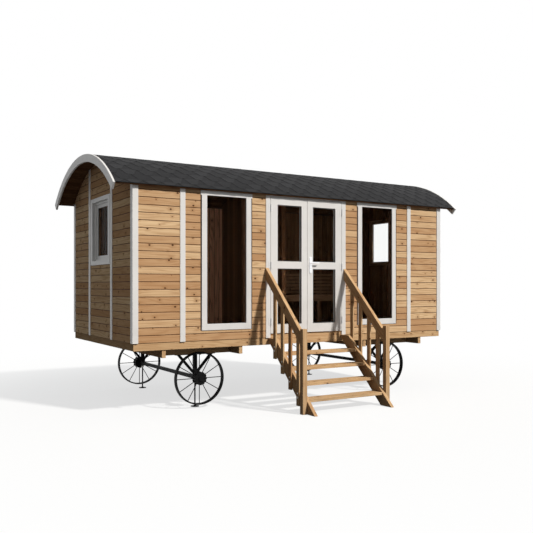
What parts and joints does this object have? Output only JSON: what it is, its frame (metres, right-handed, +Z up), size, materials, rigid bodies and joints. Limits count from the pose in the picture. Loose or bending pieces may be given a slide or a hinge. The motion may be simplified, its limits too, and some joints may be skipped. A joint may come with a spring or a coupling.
{
  "type": "sauna wagon",
  "caption": "Boarded sauna wagon with a barrel shingle roof, white trim, glazed double door, tall front windows, timber stairs and spoked wheels on braced axle frames.",
  "frame": {"origin": "on the ground, under the middle of the whole outline with its stairs", "axes": "+X along the wagon, -Y towards the door side and stairs, +Z up"},
  "size_m": [5.976, 3.9744, 3.5448],
  "materials": {
    "frame_pine": "planed pine",
    "cladding_pine": "oiled knotty pine boards",
    "floor_boards": "planed boards",
    "roof_boards": "dark stained boards",
    "shingles": "mineral bitumen shingles",
    "white_trim": "white painted timber",
    "window_glass": "clear glazing",
    "stair_pine": "planed pine",
    "black_steel": "satin black paint",
    "door_fittings": "satin steel",
    "lining_pine": "reddish brown heat-treated boards"
  },
  "bodies": {
    "wagon": {"long_sills": "frame_pine", "end_sills": "frame_pine", "floor_joists": "frame_pine", "cross_bearers": "frame_pine", "bearer_rails": "frame_pine", "threshold": "frame_pine", "front_wall_left": "cladding_pine", "front_wall_right": "cladding_pine", "door_lintel": "cladding_pine", "rear_wall": "cladding_pine", "left_gable_wall": "cladding_pine", "right_gable_wall": "cladding_pine", "floor": "floor_boards", "roof_deck": "roof_boards", "roof_covering": "shingles", "left_bargeboard": "white_trim", "right_bargeboard": "white_trim", "corner_boards": "white_trim", "wall_battens": "white_trim", "gable_battens": "white_trim", "front_window_casings": "white_trim", "gable_window_frames": "white_trim", "gable_sashes": "white_trim", "door_frame": "white_trim", "front_window_panes": "window_glass", "gable_panes": "window_glass", "stringers": "stair_pine", "treads": "stair_pine", "newels": "stair_pine", "handrails": "stair_pine", "balusters": "stair_pine", "left_axle_frame": "black_steel", "right_axle_frame": "black_steel", "jack_feet": "black_steel", "frame_hinges": "door_fittings", "partition": "lining_pine", "partition_post": "lining_pine", "bench_slats": "lining_pine", "bench_supports": "lining_pine", "bench_front_board": "lining_pine", "backrest": "lining_pine"},
    "left_door": {"left_door_leaf": "white_trim", "left_door_panes": "window_glass", "left_door_hinges": "door_fittings"},
    "right_door": {"right_door_leaf": "white_trim", "right_door_panes": "window_glass", "right_door_hinges": "door_fittings", "lock_plates": "door_fittings"},
    "lever": {"door_lever": "door_fittings"},
    "front_left_hub": {"front_left_wheel": "black_steel", "front_left_spokes": "black_steel"},
    "front_right_hub": {"front_right_wheel": "black_steel", "front_right_spokes": "black_steel"},
    "rear_left_hub": {"rear_left_wheel": "black_steel", "rear_left_spokes": "black_steel"},
    "rear_right_hub": {"rear_right_wheel": "black_steel", "rear_right_spokes": "black_steel"}
  },
  "joints": [
    {"name": "left_door_swing", "type": "hinge", "parent": "wagon", "child": "left_door", "pos_m": [-0.635, -0.83931, 1.98222], "axis": [0, 0, -1], "range_deg": [0, 90]},
    {"name": "right_door_swing", "type": "hinge", "parent": "wagon", "child": "right_door", "pos_m": [0.635, -0.83931, 1.98222], "axis": [0, 0, 1], "range_deg": [0, 90]},
    {"name": "lever_turn", "type": "hinge", "parent": "right_door", "child": "lever", "pos_m": [0.0585, -0.83223, 2.03], "axis": [0, 1, 0], "range_deg": [0, 40], "stiffness_Nm_per_rad": 1.5, "springref_deg": -28.65},
    {"name": "front_left_roll", "type": "hinge", "parent": "wagon", "child": "front_left_hub", "pos_m": [-1.666, -0.62923, 0.41], "axis": [0, 1, 0], "continuous": true},
    {"name": "front_right_roll", "type": "hinge", "parent": "wagon", "child": "front_right_hub", "pos_m": [1.666, -0.62923, 0.41], "axis": [0, 1, 0], "continuous": true},
    {"name": "rear_left_roll", "type": "hinge", "parent": "wagon", "child": "rear_left_hub", "pos_m": [-1.666, 1.70077, 0.41], "axis": [0, 1, 0], "continuous": true},
    {"name": "rear_right_roll", "type": "hinge", "parent": "wagon", "child": "rear_right_hub", "pos_m": [1.666, 1.70077, 0.41], "axis": [0, 1, 0], "continuous": true}
  ]
}
